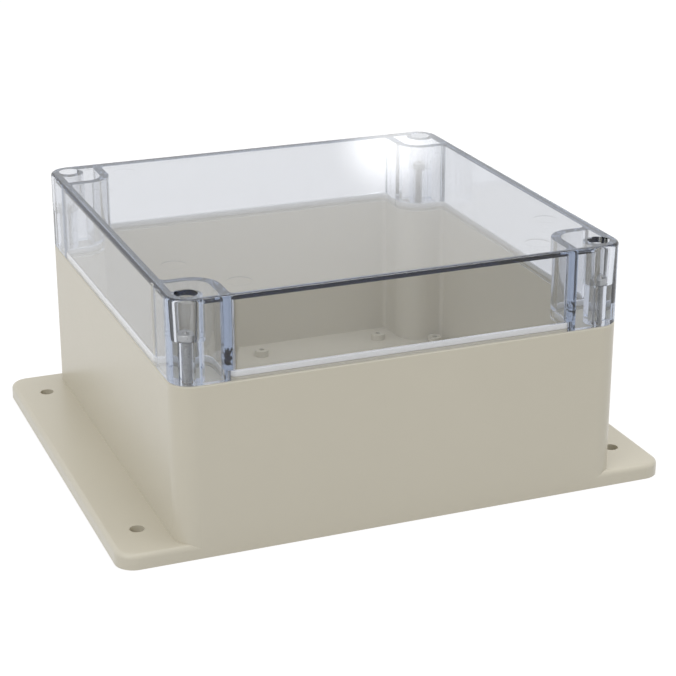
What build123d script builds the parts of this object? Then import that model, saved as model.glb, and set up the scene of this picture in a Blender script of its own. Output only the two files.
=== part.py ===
from build123d import *
import os

# Screw-lid distribution box: a beige base with two mounting ears, a clear lid, a seal between them,
# four lid screws and the four threaded inserts that they go into.
# Millimetres. The origin is the centre of the underside, +X runs from ear to ear, +Y to the back, +Z up.

# Body
body_x = 188.0            # across the walls, ears not counted
body_y = 192.0
body_corner_r = 9.0       # upright outer corners
wall_t = 4.2              # outer walls of base and lid
joint_z = 71.0            # rim of the base
joint_gap = 0.3           # the seal holds the lid this far off the rim
edge_break = 0.35         # small chamfer on both sides of the joint line

# Lid
lid_height = 34.1         # base's rim to the lid's top face
lid_top_t = 2.8
lid_top_edge_r = 1.2      # outer edge round the top face

# Corner walls, which keep the four screw corners outside the seal
corner_wall_t = 4.0
screw_corner_x = 24.0     # outer face to the room side of the corner wall
screw_corner_y = 27.5
nose_r = 9.5              # rounded corner of that wall, on its middle line
seal_turn_r = 4.2         # where the seal turns off the outer wall

# Seal: a tongue on the base presses on a strip in the lid's groove
groove_w = 1.6
groove_depth = 3.9
strip_h = 2.6
strip_gap = 0.05          # strip to the groove's sides and roof, and to the tongue
tongue_side_gap = 0.15

# Screw towers in the lid and posts in the base
screw_edge_x = 8.2        # screw axis to the outer faces
screw_edge_y = 8.5
seat_rise = 16.5          # base's rim to the shoulder that the head sits on
well_top_d = 9.0          # screwdriver well, narrower towards the shoulder
well_bottom_d = 7.9
tower_top_d = 12.5        # tower round the well
tower_foot_d = 11.3       # tower below the shoulder
screw_hole_d = 4.5
post_d = 11.5             # post under the base's corner web
post_length = 30.0
corner_web_t = 4.0        # flat top of each screw corner of the base

# Lid screw, M4 cheese head
screw_length = 25.0
thread_d = 4.0
thread_gap = 0.05         # running clearance in the insert, on the radius
head_d = 7.0
head_h = 2.6
head_edge_chamfer = 0.4
head_gap = 0.05           # under the head, before the screw is pulled tight
recess_d = 4.2            # hollow in the head, where the driver's cross bites
recess_depth = 1.4
tip_chamfer = 0.6

# Threaded insert
insert_d = 5.8
insert_length = 8.5
insert_flange_d = 7.0
insert_flange_t = 0.8
insert_gap = 0.05         # on the radius, in its post
insert_drop = 0.5         # below the web's face
tip_room = 4.0            # free depth below the insert or the screw's tip, whichever is lower

# Floor
floor_top_z = 8.5
floor_t = 3.5
boss_d = 6.6
boss_h = 3.0
boss_hole_d = 2.6
boss_hole_depth = 4.0
boss_row_wall_gap = 14.0  # rows along the front and rear walls: axis to the wall's inner face
boss_row_corner_gap = 10.0
boss_side_wall_gap = 6.0  # single bosses beside the side walls
boss_side_corner_gap = 5.0

# Mounting ears
ear_reach = 23.5          # side wall to the ear's tip
ear_t = 6.3
ear_corner_r = 8.0
ear_edge_r = 2.0          # rounded upper edge
ear_hole_d = 6.0
ear_hole_reach = 10.5     # side wall to the hole's axis
ear_hole_inset = 21.5     # hole's axis to the ear's front or rear end
ear_skin_t = 3.0          # top skin over the hollow underside
ear_rim_t = 3.0           # rim round that hollow
ear_boss_d = 12.0
ear_rib_t = 2.4
ear_rib_count = 3         # ribs between the two hole bosses

# Round marks that the ejector pins left on the lid's ceiling
mark_d = 10.0
mark_depth = 0.15
mark_side_wall_gap = 9.8  # pair beside each side wall: axis to the wall's inner face
mark_side_corner_gap = 15.5
mark_end_wall_gap = 11.8  # pair beside the front wall and beside the rear wall
mark_end_corner_gap = 7.5

# Worked out from the sizes above
top_z = joint_z + lid_height
lid_foot_z = joint_z + joint_gap
ceiling_z = top_z - lid_top_t
seat_z = joint_z + seat_rise
head_z = seat_z + head_gap
tip_z = head_z - screw_length
screw_x = body_x / 2 - screw_edge_x
screw_y = body_y / 2 - screw_edge_y
inner_x = body_x / 2 - wall_t
inner_y = body_y / 2 - wall_t
corner_face_x = body_x / 2 - screw_corner_x
corner_face_y = body_y / 2 - screw_corner_y
half_corner_wall = corner_wall_t / 2
seal_x = inner_x + half_corner_wall
seal_y = inner_y + half_corner_wall
seal_corner_x = corner_face_x + half_corner_wall
seal_corner_y = corner_face_y + half_corner_wall
groove_top_z = joint_z + groove_depth
strip_top_z = groove_top_z - strip_gap
strip_bottom_z = strip_top_z - strip_h
tongue_top_z = strip_bottom_z - strip_gap
insert_top_z = joint_z - insert_drop
insert_bottom_z = insert_top_z - insert_length
tip_hole_bottom_z = min(insert_bottom_z, tip_z) - tip_room
post_bottom_z = joint_z - post_length
floor_bottom_z = floor_top_z - floor_t
boss_top_z = floor_top_z + boss_h
ear_span = body_x + 2 * ear_reach
ear_hole_x = body_x / 2 + ear_hole_reach
ear_hole_y = body_y / 2 - ear_hole_inset
corners = {
    "front_left": (-1, -1),
    "front_right": (1, -1),
    "rear_left": (-1, 1),
    "rear_right": (1, 1),
}


def seal_outline(grow):
    """The line of the seal, moved outwards by grow: a rectangle that steps in round each screw corner."""
    half_x = seal_x + grow
    half_y = seal_y + grow
    step_x = seal_corner_x + grow
    step_y = seal_corner_y + grow
    outline = Rectangle(2 * half_x, 2 * half_y)
    for side_x, side_y in corners.values():
        cut = Rectangle(2 * (half_x - step_x), 2 * (half_y - step_y))
        outline -= Pos(side_x * half_x, side_y * half_y) * cut
    noses = [v for v in outline.vertices() if abs(v.X) < half_x - 1e-3 and abs(v.Y) < half_y - 1e-3]
    outline = fillet(noses, nose_r - grow)
    turns = [v for v in outline.vertices() if is_turn(v, half_x, half_y, step_x, step_y)]
    return fillet(turns, seal_turn_r + grow)


def is_turn(vertex, half_x, half_y, step_x, step_y):
    """True at the eight corners where the outline turns off an outer wall."""
    on_front_or_rear = abs(abs(vertex.Y) - half_y) < 1e-3 and abs(abs(vertex.X) - step_x) < 1e-3
    on_side = abs(abs(vertex.X) - half_x) < 1e-3 and abs(abs(vertex.Y) - step_y) < 1e-3
    return on_front_or_rear or on_side


def seal_band(width):
    return seal_outline(width / 2) - seal_outline(-width / 2)


def prism(sketch, low_z, high_z):
    return Pos(0, 0, low_z) * extrude(sketch, high_z - low_z)


def edges_at(solid, z):
    """The edges that lie flat at the height z."""
    boxes = [(e, e.bounding_box()) for e in solid.edges()]
    return [e for e, box in boxes if abs(box.min.Z - z) < 1e-4 and abs(box.max.Z - z) < 1e-4]


def room(low_z, high_z):
    """The room inside base or lid, within the outer walls and the corner walls."""
    return prism(seal_outline(-half_corner_wall), low_z, high_z)


def screw_corner_outline():
    """The four corners between the corner walls and the outer walls."""
    inside = RectangleRounded(2 * inner_x, 2 * inner_y, body_corner_r - wall_t)
    return inside - seal_outline(half_corner_wall)


def at_screws(make):
    return [Pos(side_x * screw_x, side_y * screw_y, 0) * make() for side_x, side_y in corners.values()]


def upright(diameter, low_z, high_z):
    """An upright cylinder on the local axis."""
    return Pos(0, 0, (low_z + high_z) / 2) * Cylinder(diameter / 2, high_z - low_z)


def tapered(low_d, high_d, low_z, high_z):
    return Pos(0, 0, (low_z + high_z) / 2) * Cone(low_d / 2, high_d / 2, high_z - low_z)


def make_lid():
    body_outline = RectangleRounded(body_x, body_y, body_corner_r)
    block = prism(body_outline, lid_foot_z, top_z)
    block = fillet(edges_at(block, top_z), lid_top_edge_r)
    block = chamfer(edges_at(block, lid_foot_z), edge_break)
    shell = block - room(lid_foot_z, ceiling_z)
    shell -= prism(screw_corner_outline(), lid_foot_z, ceiling_z)
    for tower in at_screws(make_tower):
        shell += tower & block
    for well in at_screws(lambda: tapered(well_bottom_d, well_top_d, seat_z, top_z)):
        shell -= well
    for hole in at_screws(lambda: upright(screw_hole_d, lid_foot_z, seat_z)):
        shell -= hole
    for x, y in mark_places():
        shell -= Pos(x, y, 0) * upright(mark_d, ceiling_z, ceiling_z + mark_depth)
    return shell - prism(seal_band(groove_w), lid_foot_z, groove_top_z)


def make_tower():
    """The upright round the screwdriver well, slimmer below the shoulder."""
    return upright(tower_top_d, seat_z, ceiling_z) + upright(tower_foot_d, lid_foot_z, seat_z)


def mark_places():
    """Ejector marks in pairs, one pair along each wall."""
    side_x = inner_x - mark_side_wall_gap
    side_y = corner_face_y - mark_side_corner_gap
    end_x = corner_face_x - mark_end_corner_gap
    end_y = inner_y - mark_end_wall_gap
    pairs = [(side_x, side_y), (end_x, end_y)]
    return [(sign_x * x, sign_y * y) for x, y in pairs for sign_x, sign_y in corners.values()]


def make_ears():
    """The plate that carries both ears, hollow underneath round its bosses and ribs."""
    plate = prism(RectangleRounded(ear_span, body_y, ear_corner_r), 0, ear_t)
    plate = fillet(edges_at(plate, ear_t), ear_edge_r)
    hollow_w = ear_reach - ear_rim_t
    hollow_x = body_x / 2 + hollow_w / 2
    hollow_l = body_y - 2 * ear_rim_t
    hollow_r = ear_corner_r - ear_rim_t
    rib_pitch = 2 * ear_hole_y / (ear_rib_count + 1)
    for side in (-1, 1):
        tray = Pos(side * hollow_x, 0) * RectangleRounded(hollow_w, hollow_l, hollow_r)
        for row in range(ear_rib_count + 2):
            rib_y = -ear_hole_y + row * rib_pitch
            tray -= Pos(side * hollow_x, rib_y) * Rectangle(2 * hollow_w, ear_rib_t)
        for hole_y in (-ear_hole_y, ear_hole_y):
            tray -= Pos(side * ear_hole_x, hole_y) * Circle(ear_boss_d / 2)
        plate -= prism(tray, 0, ear_t - ear_skin_t)
    for side_x, side_y in corners.values():
        plate -= Pos(side_x * ear_hole_x, side_y * ear_hole_y, 0) * upright(ear_hole_d, 0, ear_t)
    return plate


def boss_places():
    """Three bosses along the front wall and the rear wall, and two beside each side wall."""
    row_x = corner_face_x - boss_row_corner_gap
    row_y = inner_y - boss_row_wall_gap
    side_x = inner_x - boss_side_wall_gap
    side_y = corner_face_y - boss_side_corner_gap
    rows = [(x, y) for x in (-row_x, 0, row_x) for y in (-row_y, row_y)]
    sides = [(x, y) for x in (-side_x, side_x) for y in (-side_y, side_y)]
    return rows + sides


def make_base():
    block = prism(RectangleRounded(body_x, body_y, body_corner_r), 0, joint_z)
    block = chamfer(edges_at(block, joint_z), edge_break)
    under_floor = RectangleRounded(2 * inner_x, 2 * inner_y, body_corner_r - wall_t)
    block -= room(floor_top_z, joint_z)
    block -= prism(under_floor, 0, floor_bottom_z)
    block -= prism(screw_corner_outline(), floor_bottom_z, joint_z - corner_web_t)
    shell = block + make_ears_beside_walls()
    for post in at_screws(lambda: upright(post_d, post_bottom_z, joint_z - corner_web_t)):
        shell += post
    for seat in at_screws(make_insert_seat):
        shell -= seat
    shell += prism(seal_band(groove_w - 2 * tongue_side_gap), joint_z, tongue_top_z)
    for x, y in boss_places():
        shell += Pos(x, y, 0) * upright(boss_d, floor_bottom_z, boss_top_z)
        shell -= Pos(x, y, 0) * upright(boss_hole_d, boss_top_z - boss_hole_depth, boss_top_z)
    return shell


def make_ears_beside_walls():
    """The ears alone: the plate without what lies inside the walls."""
    inside = RectangleRounded(2 * inner_x, 2 * inner_y, body_corner_r - wall_t)
    return make_ears() - prism(inside, 0, ear_t)


def make_insert_seat():
    """The stepped hole in a post, with room for the screw's tip below the insert."""
    flange_bottom_z = insert_top_z - insert_flange_t
    seat = upright(insert_d + 2 * insert_gap, insert_bottom_z, flange_bottom_z)
    seat += upright(insert_flange_d + 2 * insert_gap, flange_bottom_z, joint_z)
    return seat + upright(screw_hole_d, tip_hole_bottom_z, insert_bottom_z)


def make_insert():
    """A flanged brass bush with a through thread, here a plain bore."""
    flange_bottom_z = insert_top_z - insert_flange_t
    bush = upright(insert_d, insert_bottom_z, flange_bottom_z)
    bush += upright(insert_flange_d, flange_bottom_z, insert_top_z)
    return bush - upright(thread_d, insert_bottom_z, insert_top_z)


def make_screw():
    """A cheese-head screw over the lid's shoulder, its cross recess as a plain cone."""
    head_top_z = head_z + head_h
    shank = upright(thread_d - 2 * thread_gap, tip_z, head_z)
    shank = chamfer(edges_at(shank, tip_z), tip_chamfer)
    head = upright(head_d, head_z, head_top_z)
    head = chamfer(edges_at(head, head_top_z), head_edge_chamfer)
    return shank + head - Pos(0, 0, head_top_z - recess_depth / 2) * Rot(X=180) * Cone(recess_d / 2, 0, recess_depth)


def make_strip():
    return prism(seal_band(groove_w - 2 * strip_gap), strip_bottom_z, strip_top_z)


def save(shape, node):
    shape.label = node
    export_step(shape, f"parts/{node}.step")


os.makedirs("parts", exist_ok=True)
save(make_base(), "base_shell")
save(make_lid(), "clear_lid")
save(make_strip(), "lid_seal")
for place, screw, insert in zip(corners, at_screws(make_screw), at_screws(make_insert)):
    save(screw, f"lid_screw_{place}")
    save(insert, f"threaded_insert_{place}")
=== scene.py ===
"""Looks of an eared distribution box: a warm grey moulded base under a clear lid held by four screws.

Everything is in metres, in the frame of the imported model: +X from ear to ear, +Y to the back, +Z up.
"""
import math

import bpy
import numpy as np
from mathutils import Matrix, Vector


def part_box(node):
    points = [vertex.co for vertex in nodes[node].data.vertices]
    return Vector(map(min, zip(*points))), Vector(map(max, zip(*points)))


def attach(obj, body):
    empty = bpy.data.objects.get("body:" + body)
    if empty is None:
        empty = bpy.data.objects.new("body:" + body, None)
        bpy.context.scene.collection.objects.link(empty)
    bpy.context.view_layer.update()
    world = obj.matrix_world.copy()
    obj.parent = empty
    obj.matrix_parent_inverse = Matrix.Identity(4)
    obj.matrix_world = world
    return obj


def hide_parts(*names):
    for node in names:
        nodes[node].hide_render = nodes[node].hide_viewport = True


MM = 0.001

# Camera: the photograph's viewpoint, fitted to the straight edges of the box
CAMERA_PLACE = (-0.2730, -0.71033, 0.33493)
CAMERA_TURN = math.radians(-21.65)
CAMERA_DROP = math.radians(20.90)
FOCAL_PIXELS = 1875.17
PHOTO_PIXELS = 676
SENSOR = 36.0             # width in millimetres
NEAR_CLIP = 10 * MM

# Light, where 1 is a level at which a colour renders about as it is written
SKY_LOW_LEVEL = 0.54
SKY_HIGH_LEVEL = 0.72
CLEAR_BOUNCES = 48        # light that runs along a clear wall turns back from its faces many times

# Lamps: place, the point they face, size and level. The size of the rear lamp is its radius
KEY_LIGHT = ((-1.3, -0.9, 1.4), (0, 0, 0.05), 1.2, 2.0)
TOP_LIGHT = ((0.4, -0.1, 1.7), (0, 0, 0.1), 1.0, 2.2)
REAR_LAMP = ((0.87, 1.94, 0.64), (0.08, 0.085, 0.105), 0.11, 1.5)
REAR_LAMP_SIDES = 48

# Floor
FLOOR_HALF = 4.0
FLOOR_DROP = 0.2 * MM
FLOOR_GREY = 0.66         # as it lights the object
FLOOR_SHADE = 0.3         # the part of its white that a shadow takes away
FLOOR_GLOW = 0.8          # the part of its white that stays in shadow

# Clear plastic, set against the photograph
CLEAR_TINT = (0.9, 0.9, 0.91)
CLEAR_DEPTH_COLOUR = (0.0, 0.14, 0.36)
CLEAR_DEPTH_DENSITY = 29.0
CLEAR_PASS = 0.975        # share of soft light that passes each face of a wall

# Meshes, and the slope of a thread's flanks in ridge
SHARP_ANGLE = math.radians(38)
ROWS_PER_PITCH = 8
FLANK_STEEPNESS = 1.25
FLANK_OFFSET = 0.15

# Lid screw, M4 cheese head with a cross recess
THREAD_PITCH = 0.7 * MM
THREAD_DEPTH = 0.4 * MM
SHANK_R = 1.94 * MM
TIP_R = 1.4 * MM
HEAD_HEIGHT = 2.6 * MM
HEAD_EDGE_R = 0.45 * MM
RECESS_REACH = 2.1 * MM
RECESS_HALF_WIDTH = 0.48 * MM
RECESS_DEPTH = 1.35 * MM
RECESS_SLOPE = 0.18 * MM
RECESS_ROWS = 56
HEAD_CENTRE_R = 0.04 * MM
HEAD_EDGE_ROWS = 6
SCREW_COLUMNS = 72

# Threaded insert, knurled where the plastic grips it
INSERT_R = 2.88 * MM
INSERT_BORE_R = 2.01 * MM
INSERT_FLANGE_T = 0.8 * MM
INSERT_THREAD_DEPTH = 0.3 * MM
KNURL_DEPTH = 0.16 * MM
KNURL_COUNT = 24
KNURL_SLANT = 30.0        # turns of the tooth pattern per metre of height
GRIP_GROOVE_T = 1.2 * MM
BORE_ROWS = 84
GRIP_ROWS = 30
INSERT_COLUMNS = 96
EDGE_BREAK = 0.12 * MM    # on screws and inserts alike

# Seal strip: its line steps in round each screw corner
STRIP_W = 1.46 * MM
SEAL_CORNER_X = 72.0 * MM
SEAL_CORNER_Y = 70.5 * MM
NOSE_R = 9.5 * MM
NOSE_STEPS = 13
TURN_R = 4.2 * MM
TURN_STEPS = 9
STRIP_ROUNDNESS = 3.2     # exponent of the section, 2 for an ellipse and more for squarer sides
STRIP_COLUMNS = 28


def linear(hex_colour):
    """Linear colour of an sRGB hex value: c / 12.92 below 0.04045, ((c + 0.055) / 1.055) ** 2.4 above."""
    parts = [int(hex_colour[i : i + 2], 16) / 255 for i in (1, 3, 5)]
    lit = [c / 12.92 if c <= 0.04045 else ((c + 0.055) / 1.055) ** 2.4 for c in parts]
    return (*lit, 1.0)


def add(tree, kind, inputs=None, **settings):
    """Adds one node: settings are its options, and each input takes a value or another node's output."""
    node = tree.nodes.new("ShaderNode" + kind)
    for name, value in settings.items():
        setattr(node, name, value)
    for key, value in (inputs or {}).items():
        if isinstance(value, bpy.types.NodeSocket):
            tree.links.new(value, node.inputs[key])
        else:
            node.inputs[key].default_value = value
    return node


def new_material(name):
    """A material with an empty tree and its output node."""
    made = bpy.data.materials.new(name)
    made.use_nodes = True
    made.node_tree.nodes.clear()
    return made, made.node_tree, made.node_tree.nodes.new("ShaderNodeOutputMaterial")


def wear(object_, made):
    """Gives an object one material in place of what it had."""
    object_.data.materials.clear()
    object_.data.materials.append(made)


def closed_skin(name, points, ends_meet):
    """A closed mesh from points[row, column]. Columns always run round. The rows either meet too, as on a
    ring, or begin and end in one point each."""
    rows, columns = points.shape[:2]
    where = np.arange(rows * columns).reshape(rows, columns)
    corners = points.reshape(-1, 3)
    if ends_meet:
        low, high = where, np.roll(where, -1, axis=0)
    else:
        low, high = where[:-1], where[1:]
    quads = [low, np.roll(low, -1, axis=1), np.roll(high, -1, axis=1), high]
    faces = np.stack(quads, axis=-1).reshape(-1, 4).tolist()
    if not ends_meet:
        first = len(corners)
        corners = np.vstack([corners, points[0].mean(axis=0), points[-1].mean(axis=0)])
        faces += [[first, int(b), int(a)] for a, b in zip(where[0], np.roll(where[0], -1))]
        faces += [[first + 1, int(a), int(b)] for a, b in zip(where[-1], np.roll(where[-1], -1))]
    mesh = bpy.data.meshes.new(name)
    mesh.from_pydata(corners.tolist(), [], faces)
    turned_out(mesh)
    mesh.shade_smooth()
    mesh.set_sharp_from_angle(angle=SHARP_ANGLE)
    made = bpy.data.objects.new(name, mesh)
    bpy.context.scene.collection.objects.link(made)
    return made


def turned_out(mesh):
    """Flips the faces if they look inwards: the sum of a . (b x c) / 6 over the triangles is the volume."""
    mesh.calc_loop_triangles()
    corners = np.array([v.co for v in mesh.vertices])
    corners -= corners.mean(axis=0)
    a, b, c = (corners[[t.vertices[k] for t in mesh.loop_triangles]] for k in range(3))
    if np.einsum("ij,ij->i", a, np.cross(b, c)).sum() < 0:
        mesh.flip_normals()


def turning(radius, height, angle, axis):
    """Points of a turned piece: (x, y, z) = (X + r cos a, Y + r sin a, h) about the axis at (X, Y)."""
    radius, height, angle = np.broadcast_arrays(radius, height, angle)
    return np.stack([axis[0] + radius * np.cos(angle), axis[1] + radius * np.sin(angle), height], axis=-1)


def ridge(phase):
    """Thread profile against phase, in turns: 1 on the narrow crest, 0 in the root, flanks between."""
    saw = np.abs((phase % 1.0) - 0.5) * 2
    return np.clip(FLANK_STEEPNESS * saw - FLANK_OFFSET, 0, 1)


def threaded_screw(name, low, high):
    """M4 cheese-head screw between two heights.

    Shank: r = min(R - depth (1 - ridge(h / pitch - a / 2 pi)), R_tip + h), h from the tip to just short of
    the head.
    Head: a flat underside, r = R_head up to a quarter round of radius e, then the top, which dips by
    max over the two arms of D (1 - (u / reach)^2) step(half width - |v|), with u along the arm and v
    across it.
    """
    axis = ((low[0] + high[0]) / 2, (low[1] + high[1]) / 2)
    head_r = (high[0] - low[0]) / 2
    head_z = high[2] - HEAD_HEIGHT
    angle = np.arange(SCREW_COLUMNS) * 2 * math.pi / SCREW_COLUMNS
    steps = int(round((head_z - low[2]) / THREAD_PITCH * ROWS_PER_PITCH))
    climb = np.linspace(0, head_z - EDGE_BREAK - low[2], steps)[:, None]
    thread = SHANK_R - THREAD_DEPTH * (1 - ridge(climb / THREAD_PITCH - angle / (2 * math.pi)))
    shank = turning(np.minimum(thread, TIP_R + climb), low[2] + climb, angle, axis)

    turn = np.linspace(0, math.pi / 2, HEAD_EDGE_ROWS)[:, None]
    rim_r = head_r - HEAD_EDGE_R * (1 - np.cos(turn))
    rim_z = high[2] - HEAD_EDGE_R * (1 - np.sin(turn))
    foot = turning(np.array([[SHANK_R], [head_r - EDGE_BREAK]]), head_z, angle, axis)
    side = turning(head_r, np.array([[head_z + EDGE_BREAK]]), angle, axis)
    rim = turning(rim_r, rim_z, angle, axis)

    reach = np.linspace(head_r - HEAD_EDGE_R, HEAD_CENTRE_R, RECESS_ROWS)[1:, None]
    along, beside = reach * np.cos(angle), reach * np.sin(angle)
    dip = np.maximum(recess_arm(along, beside), recess_arm(beside, along))
    top = turning(reach, high[2] - dip, angle, axis)
    return closed_skin(name, np.concatenate([shank, foot, side, rim, top]), ends_meet=False)


def recess_arm(along, beside):
    """Depth of one arm of the cross recess, deepest in the middle, with sides that slope in a little."""
    depth = RECESS_DEPTH * np.clip(1 - (along / RECESS_REACH) ** 2, 0, 1)
    edge = np.clip((RECESS_HALF_WIDTH - np.abs(beside)) / RECESS_SLOPE + 0.5, 0, 1)
    return depth * edge * edge * (3 - 2 * edge)


def knurled_insert(name, low, high):
    """Flanged brass bush. Bore: r = R_bore + depth (1 - ridge(h / pitch - a / 2 pi)). Grip, in two bands of
    opposite slant about a plain groove: r = R - depth |2 frac(n a / 2 pi +- slant h) - 1|."""
    axis = ((low[0] + high[0]) / 2, (low[1] + high[1]) / 2)
    flange_r = (high[0] - low[0]) / 2
    flange_z = high[2] - INSERT_FLANGE_T
    length = high[2] - low[2]
    angle = np.arange(INSERT_COLUMNS) * 2 * math.pi / INSERT_COLUMNS

    rise = np.linspace(EDGE_BREAK, length - EDGE_BREAK, BORE_ROWS)[::-1, None]
    groove = INSERT_THREAD_DEPTH * (1 - ridge(rise / THREAD_PITCH - angle / (2 * math.pi)))
    bore = turning(INSERT_BORE_R + groove, low[2] + rise, angle, axis)

    climb = np.linspace(EDGE_BREAK, flange_z - low[2] - 2 * EDGE_BREAK, GRIP_ROWS)[:, None]
    middle = (flange_z - low[2]) / 2
    slant = np.where(climb < middle, KNURL_SLANT, -KNURL_SLANT) * (climb - middle)
    tooth = np.abs(2 * ((KNURL_COUNT * angle / (2 * math.pi) + slant * KNURL_COUNT) % 1.0) - 1)
    plain = np.abs(climb - middle) < GRIP_GROOVE_T / 2
    grip = INSERT_R - np.where(plain, 2 * KNURL_DEPTH, KNURL_DEPTH * tooth)
    outside = turning(grip, low[2] + climb, angle, axis)

    rings = [
        (INSERT_BORE_R + INSERT_THREAD_DEPTH, low[2]),
        (INSERT_R - 2 * EDGE_BREAK, low[2]),
    ]
    bottom = turning(*np.array(rings).T[:, :, None], angle, axis)
    rings = [
        (INSERT_R - 2 * KNURL_DEPTH, flange_z),
        (flange_r - EDGE_BREAK, flange_z),
        (flange_r, flange_z + EDGE_BREAK),
        (flange_r, high[2] - EDGE_BREAK),
        (flange_r - EDGE_BREAK, high[2]),
        (INSERT_BORE_R + INSERT_THREAD_DEPTH + EDGE_BREAK, high[2]),
    ]
    flange = turning(*np.array(rings).T[:, :, None], angle, axis)
    return closed_skin(name, np.concatenate([bore, bottom, outside, flange]), ends_meet=True)


def seal_line(half_x, half_y):
    """The strip's middle line as points and outward directions: a rectangle whose four corners step in to
    (SEAL_CORNER_X, SEAL_CORNER_Y), with a round nose at each step and a tight turn at its two ends."""
    step_x, step_y = SEAL_CORNER_X, SEAL_CORNER_Y
    quarter = [
        ((half_x, step_y), TURN_R, 0.0, 90.0),
        ((step_x, step_y), NOSE_R, 270.0, 180.0),
        ((step_x, half_y), TURN_R, 0.0, 90.0),
    ]
    points, ways = [], []
    for turn in range(4):
        mirrored = turn % 2 == 1
        flip_x = -1 if turn in (1, 2) else 1
        flip_y = -1 if turn in (2, 3) else 1
        bends = quarter[::-1] if mirrored else quarter
        for (x, y), radius, start, end in bends:
            inward = -1 if radius == NOSE_R else 1
            centre = (x - inward * radius, y - inward * radius)
            span = (end, start) if mirrored else (start, end)
            sweep = np.radians(np.linspace(*span, NOSE_STEPS if radius == NOSE_R else TURN_STEPS))
            for a in sweep:
                x_out, y_out = math.cos(a), math.sin(a)
                at_x = centre[0] + radius * x_out
                at_y = centre[1] + radius * y_out
                points.append((flip_x * at_x, flip_y * at_y))
                ways.append((flip_x * inward * x_out, flip_y * inward * y_out))
    return np.array(points), np.array(ways)


def silicone_strip(name, low, high):
    """The seal: a section carried along the seal line. Section: u = w/2 sgn(cos a) |cos a|^(2/p) outwards,
    z = h/2 sgn(sin a) |sin a|^(2/p) upwards, a rounded rectangle."""
    points, ways = seal_line(high[0] - STRIP_W / 2, high[1] - STRIP_W / 2)
    angle = np.arange(STRIP_COLUMNS) * 2 * math.pi / STRIP_COLUMNS
    power = 2 / STRIP_ROUNDNESS
    out = STRIP_W / 2 * np.sign(np.cos(angle)) * np.abs(np.cos(angle)) ** power
    up = (high[2] - low[2]) / 2 * np.sign(np.sin(angle)) * np.abs(np.sin(angle)) ** power
    flat = points[:, None, :] + ways[:, None, :] * out[None, :, None]
    height = np.broadcast_to((low[2] + high[2]) / 2 + up, flat.shape[:2])
    return closed_skin(name, np.dstack([flat, height]), ends_meet=True)


def moulded_abs():
    """Injection-moulded ABS: warm grey, coloured right through, satin from a fine spark-eroded mould."""
    made, tree, out = new_material("moulded_abs")
    place = add(tree, "TexCoord").outputs["Object"]
    grain = add(tree, "TexNoise", {"Vector": place, "Scale": 1 / (0.9 * MM), "Detail": 2.0})
    cloud = add(tree, "TexNoise", {"Vector": place, "Scale": 1 / (40 * MM), "Detail": 3.0})
    tone = add(
        tree,
        "Mix",
        {"Factor": cloud.outputs["Fac"], "A": linear("#CDC7B6"), "B": linear("#D1CBBA")},
        data_type="RGBA",
    )
    rough = add(
        tree,
        "MapRange",
        {"Value": grain.outputs["Fac"], "To Min": 0.26, "To Max": 0.38},
    )
    bump = add(
        tree,
        "Bump",
        {"Height": grain.outputs["Fac"], "Strength": 0.14, "Distance": 0.02 * MM},
    )
    skin = add(
        tree,
        "BsdfPrincipled",
        {
            "Base Color": tone.outputs["Result"],
            "Roughness": rough.outputs["Result"],
            "IOR": 1.53,
            "Normal": bump.outputs["Normal"],
        },
    )
    tree.links.new(skin.outputs["BSDF"], out.inputs["Surface"])
    return made


def clear_polycarbonate():
    """Polished clear polycarbonate with a slight smoke tint. Light that runs along a wall comes out bluish,
    so the edges look blue-grey. Soft light and shadow rays pass it unbent."""
    made, tree, out = new_material("clear_polycarbonate")
    path = add(tree, "LightPath")
    body = add(
        tree,
        "BsdfPrincipled",
        {
            "Base Color": (*CLEAR_TINT, 1),
            "Roughness": 0.02,
            "IOR": 1.585,
            "Transmission Weight": 1.0,
        },
    )
    through = add(tree, "BsdfTransparent", {"Color": (CLEAR_PASS, CLEAR_PASS, CLEAR_PASS, 1)})
    bounced = add(
        tree,
        "MixShader",
        {0: path.outputs["Is Diffuse Ray"], 1: body.outputs["BSDF"], 2: through.outputs["BSDF"]},
    )
    lit = add(
        tree,
        "MixShader",
        {0: path.outputs["Is Shadow Ray"], 1: bounced.outputs["Shader"], 2: through.outputs["BSDF"]},
    )
    depth = add(
        tree,
        "VolumeAbsorption",
        {"Color": (*CLEAR_DEPTH_COLOUR, 1), "Density": CLEAR_DEPTH_DENSITY},
    )
    tree.links.new(lit.outputs["Shader"], out.inputs["Surface"])
    tree.links.new(depth.outputs["Volume"], out.inputs["Volume"])
    return made


def white_silicone():
    """Extruded silicone strip: white, soft, slightly dull."""
    made, tree, out = new_material("white_silicone")
    place = add(tree, "TexCoord").outputs["Object"]
    cloud = add(tree, "TexNoise", {"Vector": place, "Scale": 1 / (6 * MM), "Detail": 3.0})
    tone = add(
        tree,
        "Mix",
        {"Factor": cloud.outputs["Fac"], "A": linear("#F1F0EE"), "B": linear("#F7F6F4")},
        data_type="RGBA",
    )
    skin = add(tree, "BsdfPrincipled", {"Base Color": tone.outputs["Result"], "Roughness": 0.5})
    tree.links.new(skin.outputs["BSDF"], out.inputs["Surface"])
    return made


def plated_steel():
    """Zinc-plated screw steel: bright, slightly cloudy."""
    made, tree, out = new_material("plated_steel")
    place = add(tree, "TexCoord").outputs["Object"]
    cloud = add(tree, "TexNoise", {"Vector": place, "Scale": 1 / (0.8 * MM), "Detail": 3.0})
    rough = add(tree, "MapRange", {"Value": cloud.outputs["Fac"], "To Min": 0.2, "To Max": 0.4})
    skin = add(
        tree,
        "BsdfPrincipled",
        {"Base Color": linear("#B9B8B4"), "Metallic": 1.0, "Roughness": rough.outputs["Result"]},
    )
    tree.links.new(skin.outputs["BSDF"], out.inputs["Surface"])
    return made


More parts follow.
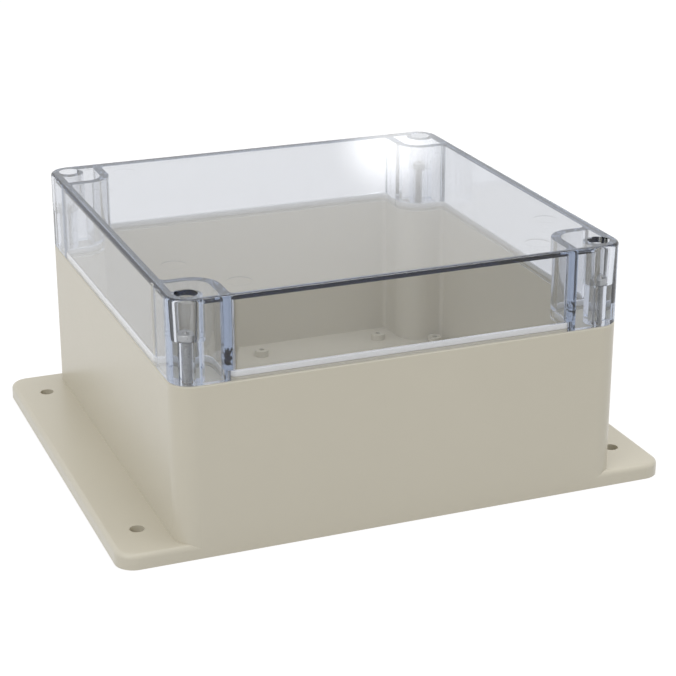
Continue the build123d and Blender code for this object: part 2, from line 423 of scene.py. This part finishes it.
def turned_brass():
    """Turned brass, a little dull."""
    made, tree, out = new_material("turned_brass")
    place = add(tree, "TexCoord").outputs["Object"]
    cloud = add(tree, "TexNoise", {"Vector": place, "Scale": 1 / (0.8 * MM), "Detail": 3.0})
    rough = add(tree, "MapRange", {"Value": cloud.outputs["Fac"], "To Min": 0.25, "To Max": 0.45})
    skin = add(
        tree,
        "BsdfPrincipled",
        {"Base Color": linear("#C9A25A"), "Metallic": 1.0, "Roughness": rough.outputs["Result"]},
    )
    tree.links.new(skin.outputs["BSDF"], out.inputs["Surface"])
    return made


def seen_directly(tree):
    """1 for rays from the camera, off a glossy surface or through clear plastic, and 0 for the rest."""
    path = add(tree, "LightPath")
    either = add(
        tree,
        "Math",
        {0: path.outputs["Is Camera Ray"], 1: path.outputs["Is Glossy Ray"]},
        operation="MAXIMUM",
    )
    return add(
        tree,
        "Math",
        {0: either.outputs[0], 1: path.outputs["Is Transmission Ray"]},
        operation="MAXIMUM",
    ).outputs[0]


def light_the_room():
    """White for the camera, in gloss and through clear plastic. The soft light that falls on the object is
    stronger from above."""
    world = bpy.data.worlds.new("studio")
    bpy.context.scene.world = world
    world.use_nodes = True
    tree = world.node_tree
    tree.nodes.clear()
    way = add(tree, "SeparateXYZ", {"Vector": add(tree, "TexCoord").outputs["Generated"]})
    sky = add(
        tree,
        "MapRange",
        {"Value": way.outputs["Z"], "To Min": SKY_LOW_LEVEL, "To Max": SKY_HIGH_LEVEL},
    )
    behind = add(tree, "Mix", {0: seen_directly(tree), 2: sky.outputs["Result"], 3: 1.0})
    shown = add(tree, "Background", {"Color": (1, 1, 1, 1), "Strength": behind.outputs[0]})
    out = add(tree, "OutputWorld")
    tree.links.new(shown.outputs["Background"], out.inputs["Surface"])


def softbox(name, place, target, size, level):
    """A square area lamp at place, turned to target. level is its brightness as seen, where 1 is white."""
    lamp = bpy.data.lights.new(name, "AREA")
    lamp.shape = "SQUARE"
    lamp.size = size
    lamp.energy = level * math.pi * size * size
    held = bpy.data.objects.new(name, lamp)
    bpy.context.scene.collection.objects.link(held)
    way = np.array(target, float) - np.array(place, float)
    way /= np.linalg.norm(way)
    held.location = place
    held.rotation_euler = (math.acos(-way[2]), 0.0, math.atan2(-way[0], way[1]))
    held.visible_camera = False


def diffused_lamp(name, place, target, radius, level):
    """A thin glowing disc: level in the middle, fading to clear at the rim, so it hides nothing."""
    place, target = np.array(place), np.array(target)
    way = (target - place) / np.linalg.norm(target - place)
    across = np.cross(way, (0, 0, 1))
    across /= np.linalg.norm(across)
    up = np.cross(across, way)
    turns = np.linspace(0, 2 * math.pi, REAR_LAMP_SIDES, endpoint=False)[:, None]
    rim = place + radius * (np.cos(turns) * across + np.sin(turns) * up)
    mesh = bpy.data.meshes.new(name)
    mesh.from_pydata(rim.tolist(), [], [tuple(range(len(rim)))])
    disc = bpy.data.objects.new(name, mesh)
    bpy.context.scene.collection.objects.link(disc)
    made, tree, out = new_material("lamp_diffuser")
    here = add(tree, "TexCoord").outputs["Object"]
    away = add(tree, "VectorMath", {0: here, 1: tuple(place)}, operation="DISTANCE")
    fade = add(
        tree,
        "MapRange",
        {"Value": away.outputs["Value"], "From Max": radius, "To Min": level, "To Max": 0.0},
        interpolation_type="SMOOTHERSTEP",
    )
    glow = add(tree, "Emission", {"Color": (1, 1, 1, 1), "Strength": fade.outputs["Result"]})
    clear = add(tree, "BsdfTransparent", {"Color": (1, 1, 1, 1)})
    veil = add(tree, "AddShader", {0: glow.outputs["Emission"], 1: clear.outputs["BSDF"]})
    tree.links.new(veil.outputs["Shader"], out.inputs["Surface"])
    wear(disc, made)
    disc.visible_camera = False


def lay_the_floor():
    """A plain pale floor, which looks white where nothing shades it."""
    half = FLOOR_HALF
    corners = [(x * half, y * half, -FLOOR_DROP) for x, y in ((-1, -1), (1, -1), (1, 1), (-1, 1))]
    mesh = bpy.data.meshes.new("floor")
    mesh.from_pydata(corners, [], [(0, 1, 2, 3)])
    floor = bpy.data.objects.new("floor", mesh)
    bpy.context.scene.collection.objects.link(floor)
    made, tree, out = new_material("white_paper")
    made.cycles.emission_sampling = "NONE"
    plain = add(tree, "BsdfDiffuse", {"Color": (FLOOR_GREY, FLOOR_GREY, FLOOR_GREY, 1)})
    pale = add(tree, "BsdfDiffuse", {"Color": (FLOOR_SHADE, FLOOR_SHADE, FLOOR_SHADE, 1)})
    glow = add(tree, "Emission", {"Color": (1, 1, 1, 1), "Strength": FLOOR_GLOW})
    white = add(tree, "AddShader", {0: pale.outputs["BSDF"], 1: glow.outputs["Emission"]})
    shown = add(
        tree,
        "MixShader",
        {0: seen_directly(tree), 1: plain.outputs["BSDF"], 2: white.outputs["Shader"]},
    )
    tree.links.new(shown.outputs["Shader"], out.inputs["Surface"])
    wear(floor, made)


def set_the_camera():
    """The photograph's view: the camera is level, turned about Z, and looks down at the box."""
    lens = bpy.data.cameras.new("camera")
    lens.sensor_width = SENSOR
    lens.lens = SENSOR * FOCAL_PIXELS / PHOTO_PIXELS
    lens.clip_start = NEAR_CLIP
    held = bpy.data.objects.new("camera", lens)
    bpy.context.scene.collection.objects.link(held)
    held.location = CAMERA_PLACE
    held.rotation_euler = (math.pi / 2 - CAMERA_DROP, 0.0, CAMERA_TURN)
    bpy.context.scene.camera = held


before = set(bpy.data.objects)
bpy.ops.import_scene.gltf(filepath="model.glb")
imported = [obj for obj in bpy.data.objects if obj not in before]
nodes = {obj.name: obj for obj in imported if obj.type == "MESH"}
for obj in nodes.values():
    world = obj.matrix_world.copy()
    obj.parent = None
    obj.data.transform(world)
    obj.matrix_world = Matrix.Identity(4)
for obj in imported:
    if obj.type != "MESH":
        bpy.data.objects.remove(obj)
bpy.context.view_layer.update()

set_the_camera()
light_the_room()
lay_the_floor()
softbox("key_light", *KEY_LIGHT)
softbox("top_light", *TOP_LIGHT)
diffused_lamp("rear_lamp", *REAR_LAMP)

wear(nodes["base_shell"], moulded_abs())
wear(nodes["clear_lid"], clear_polycarbonate())

strip = silicone_strip("silicone_strip", *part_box("lid_seal"))
wear(strip, white_silicone())
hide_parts("lid_seal")
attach(strip, "lid")

screw_finish = plated_steel()
insert_finish = turned_brass()
for corner in ("front_left", "front_right", "rear_left", "rear_right"):
    screw = threaded_screw(f"threaded_screw_{corner}", *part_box(f"lid_screw_{corner}"))
    wear(screw, screw_finish)
    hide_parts(f"lid_screw_{corner}")
    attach(screw, f"screw_{corner}")
    insert = knurled_insert(f"knurled_insert_{corner}", *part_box(f"threaded_insert_{corner}"))
    wear(insert, insert_finish)
    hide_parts(f"threaded_insert_{corner}")
    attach(insert, "base")

scene = bpy.context.scene
scene.view_settings.view_transform = "Standard"
scene.cycles.max_bounces = CLEAR_BOUNCES
scene.cycles.glossy_bounces = CLEAR_BOUNCES
scene.cycles.transmission_bounces = CLEAR_BOUNCES
